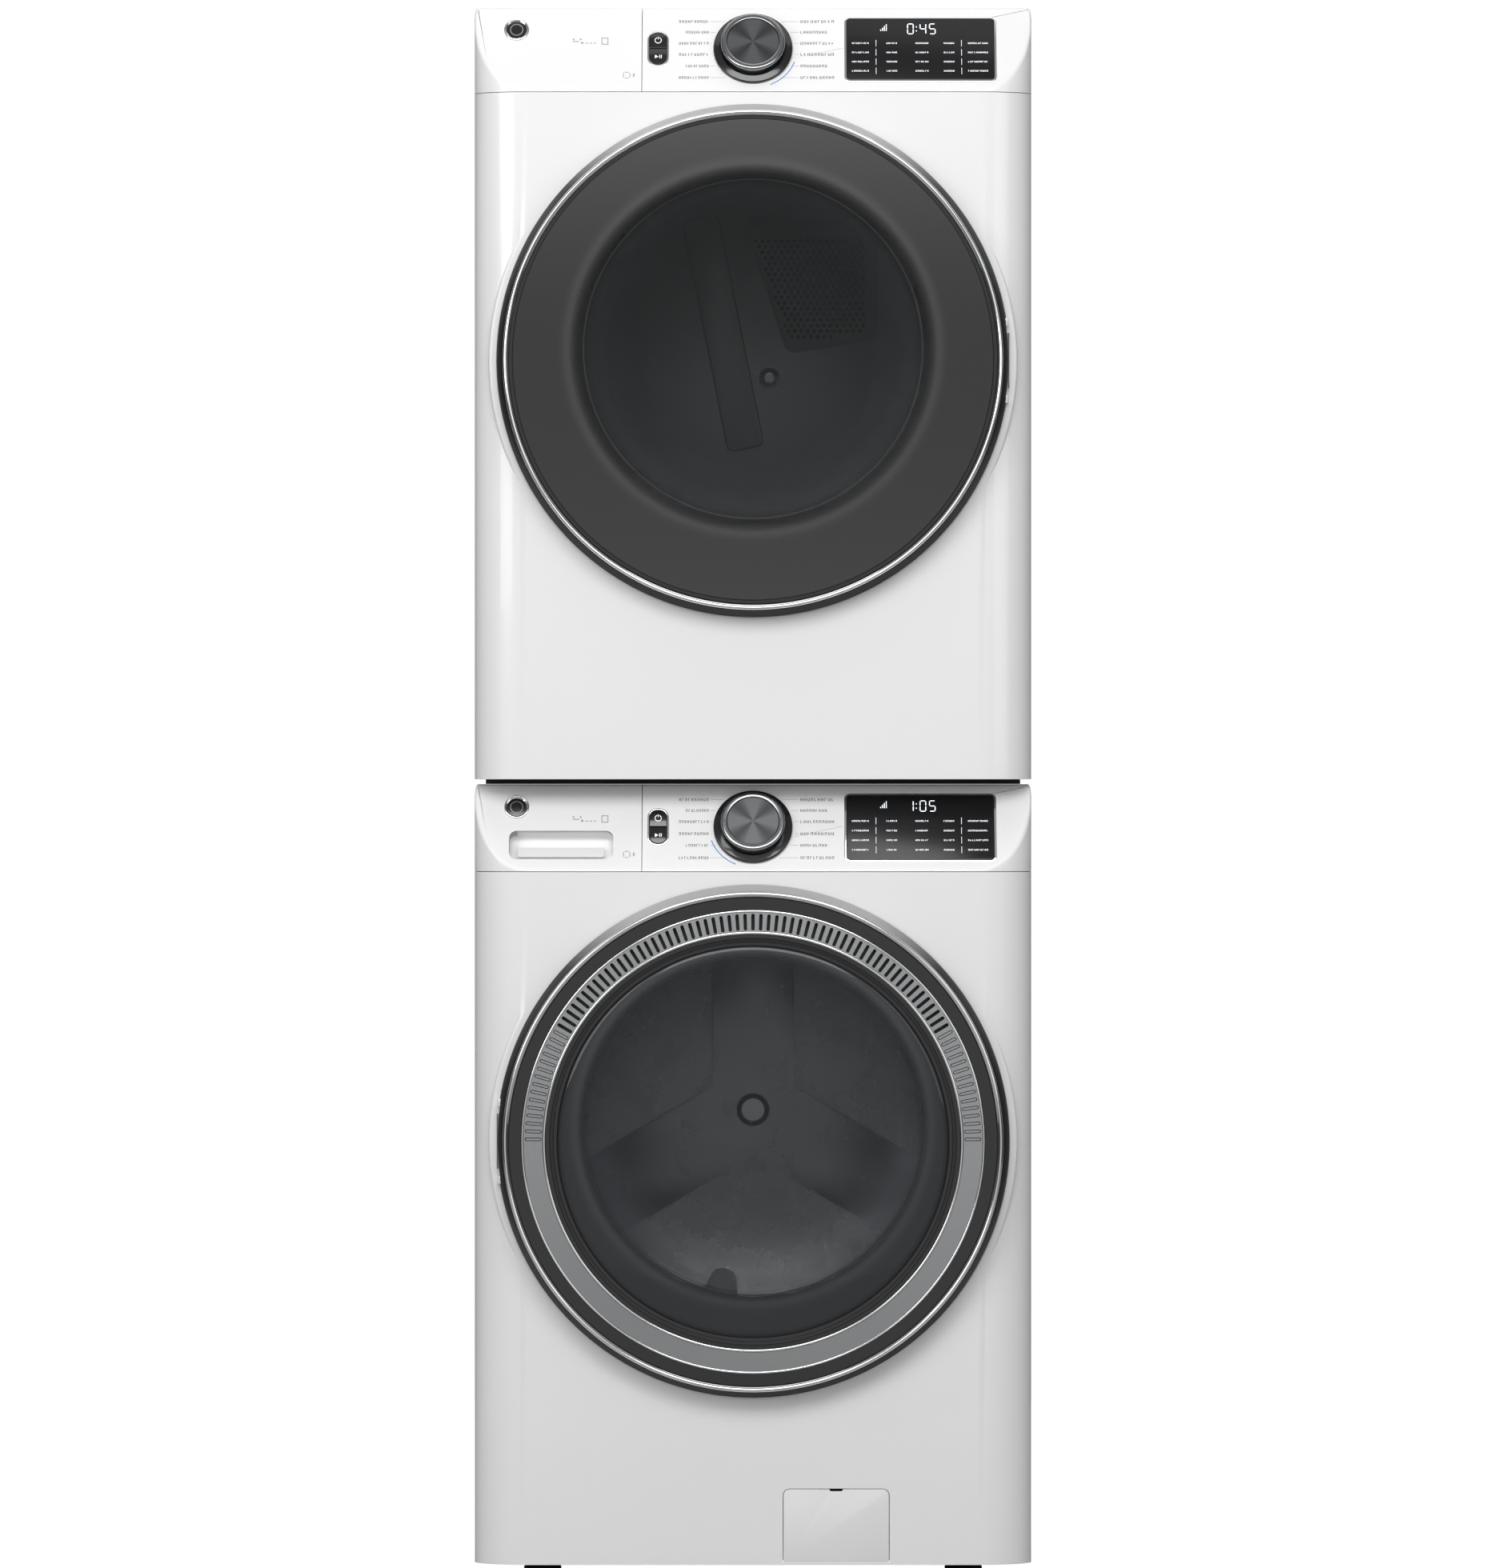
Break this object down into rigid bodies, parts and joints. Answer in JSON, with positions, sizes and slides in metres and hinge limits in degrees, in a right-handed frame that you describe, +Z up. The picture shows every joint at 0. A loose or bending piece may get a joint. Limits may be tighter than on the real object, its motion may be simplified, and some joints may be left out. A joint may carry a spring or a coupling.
{
  "type": "washer dryer stack",
  "caption": "Front-load washing machine with a matching clothes dryer stacked on it, each with a round glass door, a sloping control panel and a dial.",
  "frame": {"origin": "middle of the footprint at floor level", "axes": "+Z up, the doors face -Y, +X to the right of someone facing the doors"},
  "size_m": [0.711, 0.813, 2.003],
  "materials": {
    "white_enamel": "gloss",
    "white_plastic": "gloss",
    "black_plastic": "gloss",
    "display_black": "gloss",
    "grey_plastic": "satin",
    "chrome_trim": "polished",
    "vent_silver": "satin metallic",
    "dark_glass": "gloss",
    "clear_bowl": "clear",
    "stainless": "brushed",
    "galvanised": "satin",
    "grey_rubber": "matt",
    "black_rubber": "matt",
    "spring_steel": "satin",
    "motor_alloy": "cast",
    "frame_black": "satin"
  },
  "bodies": {
    "root": {"washer_cabinet": "white_enamel", "washer_top_panel": "white_enamel", "washer_base": "galvanised", "washer_front_panel": "white_enamel", "washer_control_panel": "white_plastic", "washer_display": "display_black", "washer_gasket": "grey_rubber", "tub_spring_left": "spring_steel", "tub_spring_right": "spring_steel", "washer_drain_pump": "black_plastic", "washer_rear_panel": "galvanised", "washer_inlet_valve": "grey_plastic", "stack_frame": "frame_black", "dryer_top_panel": "white_enamel", "dryer_base": "galvanised", "dryer_cabinet": "white_enamel", "dryer_front_panel": "white_enamel", "dryer_control_panel": "white_plastic", "dryer_trim_panel": "white_plastic", "dryer_display": "display_black", "dryer_front_bulkhead": "grey_plastic", "dryer_rear_bulkhead": "galvanised", "dryer_blower_housing": "grey_plastic", "dryer_exhaust_duct": "galvanised", "dryer_motor": "motor_alloy", "dryer_drum_belt": "black_rubber"},
    "washer_door": {"washer_door_frame": "black_plastic", "washer_door_trim_ring": "chrome_trim", "washer_door_bowl": "clear_bowl", "washer_door_hinge_arm": "stainless", "washer_door_vent_ring": "vent_silver", "washer_door_window": "dark_glass"},
    "dryer_door": {"dryer_door_frame": "black_plastic", "dryer_door_trim_ring": "chrome_trim", "dryer_door_bowl": "clear_bowl", "dryer_door_hinge_arm": "stainless", "dryer_door_window": "dark_glass"},
    "washer_drawer": {"washer_drawer_front": "white_plastic", "washer_drawer_tray": "grey_plastic"},
    "washer_flap": {"washer_service_flap": "white_plastic"},
    "pump_filter": {"washer_pump_filter": "grey_plastic"},
    "washer_dial": {"washer_knob": "chrome_trim"},
    "washer_power": {"washer_power_button": "black_plastic"},
    "washer_start": {"washer_start_button": "black_plastic"},
    "dryer_dial": {"dryer_knob": "chrome_trim"},
    "dryer_power": {"dryer_power_button": "black_plastic"},
    "dryer_start": {"dryer_start_button": "black_plastic"},
    "lint_filter": {"dryer_lint_filter": "grey_plastic"},
    "dryer_drum_body": {"dryer_drum": "stainless"},
    "dryer_spindle": {"dryer_blower_wheel": "galvanised"},
    "washer_tub_body": {"washer_tub": "grey_plastic", "washer_motor": "motor_alloy", "washer_drive_belt": "black_rubber"},
    "washer_drum_body": {"washer_drum": "stainless", "washer_drum_pulley": "motor_alloy"},
    "washer_motor_shaft": {"washer_motor_pulley": "motor_alloy"},
    "foot_front_left": {"washer_foot_front_left": "black_rubber"},
    "foot_front_right": {"washer_foot_front_right": "black_rubber"},
    "foot_rear_left": {"washer_foot_rear_left": "black_rubber"},
    "foot_rear_right": {"washer_foot_rear_right": "black_rubber"}
  },
  "joints": [
    {"name": "washer_door_hinge", "type": "hinge", "parent": "root", "child": "washer_door", "pos_m": [-0.322, -0.3765, 0.556], "axis": [0, 0, -1], "range_deg": [0, 110]},
    {"name": "dryer_door_hinge", "type": "hinge", "parent": "root", "child": "dryer_door", "pos_m": [0.322, -0.3765, 1.549], "axis": [0, 0, 1], "range_deg": [0, 110]},
    {"name": "drawer_slide", "type": "slide", "parent": "root", "child": "washer_drawer", "axis": [0, -1, 0], "range_m": [0, 0.24]},
    {"name": "service_flap_hinge", "type": "hinge", "parent": "root", "child": "washer_flap", "pos_m": [0.10585, -0.367, 0.021], "axis": [1, 0, 0], "range_deg": [0, 90]},
    {"name": "pump_filter_turn", "type": "hinge", "parent": "root", "child": "pump_filter", "pos_m": [0.10585, -0.3525, 0.06575], "axis": [0, -1, 0], "range_deg": [0, 180]},
    {"name": "washer_dial_turn", "type": "hinge", "parent": "root", "child": "washer_dial", "pos_m": [0, -0.34251, 0.95474], "axis": [0, 0.9063, -0.4226], "continuous": true},
    {"name": "washer_power_press", "type": "slide", "parent": "root", "child": "washer_power", "axis": [0, 0.9063, -0.4226], "range_m": [0, 0.001], "stiffness_N_per_m": 600, "springref_m": -0.001},
    {"name": "washer_start_press", "type": "slide", "parent": "root", "child": "washer_start", "axis": [0, 0.9063, -0.4226], "range_m": [0, 0.001], "stiffness_N_per_m": 600, "springref_m": -0.001},
    {"name": "dryer_dial_turn", "type": "hinge", "parent": "root", "child": "dryer_dial", "pos_m": [0, -0.34251, 1.94774], "axis": [0, 0.9063, -0.4226], "continuous": true},
    {"name": "dryer_power_press", "type": "slide", "parent": "root", "child": "dryer_power", "axis": [0, 0.9063, -0.4226], "range_m": [0, 0.001], "stiffness_N_per_m": 600, "springref_m": -0.001},
    {"name": "dryer_start_press", "type": "slide", "parent": "root", "child": "dryer_start", "axis": [0, 0.9063, -0.4226], "range_m": [0, 0.001], "stiffness_N_per_m": 600, "springref_m": -0.001},
    {"name": "lint_filter_lift", "type": "slide", "parent": "root", "child": "lint_filter", "axis": [0, 0, 1], "range_m": [0, 0.18]},
    {"name": "washer_drum_spin", "type": "hinge", "parent": "washer_tub_body", "child": "washer_drum_body", "pos_m": [0, -0.2435, 0.576], "axis": [0, 1, 0], "continuous": true},
    {"name": "washer_motor_spin", "type": "hinge", "parent": "washer_tub_body", "child": "washer_motor_shaft", "pos_m": [0.095, 0.2115, 0.191], "axis": [0, 1, 0], "continuous": true},
    {"name": "dryer_drum_spin", "type": "hinge", "parent": "root", "child": "dryer_drum_body", "pos_m": [0, -0.2385, 1.564], "axis": [0, 1, 0], "continuous": true},
    {"name": "dryer_blower_spin", "type": "hinge", "parent": "root", "child": "dryer_spindle", "pos_m": [-0.06, -0.2185, 1.154], "axis": [0, 1, 0], "continuous": true},
    {"name": "tub_bounce", "type": "slide", "parent": "root", "child": "washer_tub_body", "axis": [0, 0, 1], "range_m": [-0.01, 0.01], "stiffness_N_per_m": 16000, "springref_m": 0.035, "deforming": ["washer_gasket", "tub_spring_left", "tub_spring_right"]},
    {"name": "foot_front_left_turn", "type": "hinge", "parent": "root", "child": "foot_front_left", "pos_m": [-0.27, -0.2685, 0], "axis": [0, 0, 1], "continuous": true},
    {"name": "foot_front_right_turn", "type": "hinge", "parent": "root", "child": "foot_front_right", "pos_m": [0.27, -0.2685, 0], "axis": [0, 0, 1], "continuous": true},
    {"name": "foot_rear_left_turn", "type": "hinge", "parent": "root", "child": "foot_rear_left", "pos_m": [-0.27, 0.3115, 0], "axis": [0, 0, 1], "continuous": true},
    {"name": "foot_rear_right_turn", "type": "hinge", "parent": "root", "child": "foot_rear_right", "pos_m": [0.27, 0.3115, 0], "axis": [0, 0, 1], "continuous": true}
  ],
  "couplings": [
    {"joint": "washer_motor_spin", "follows": "washer_drum_spin", "ratio": 7.5},
    {"joint": "dryer_blower_spin", "follows": "dryer_drum_spin", "ratio": 20.357}
  ]
}
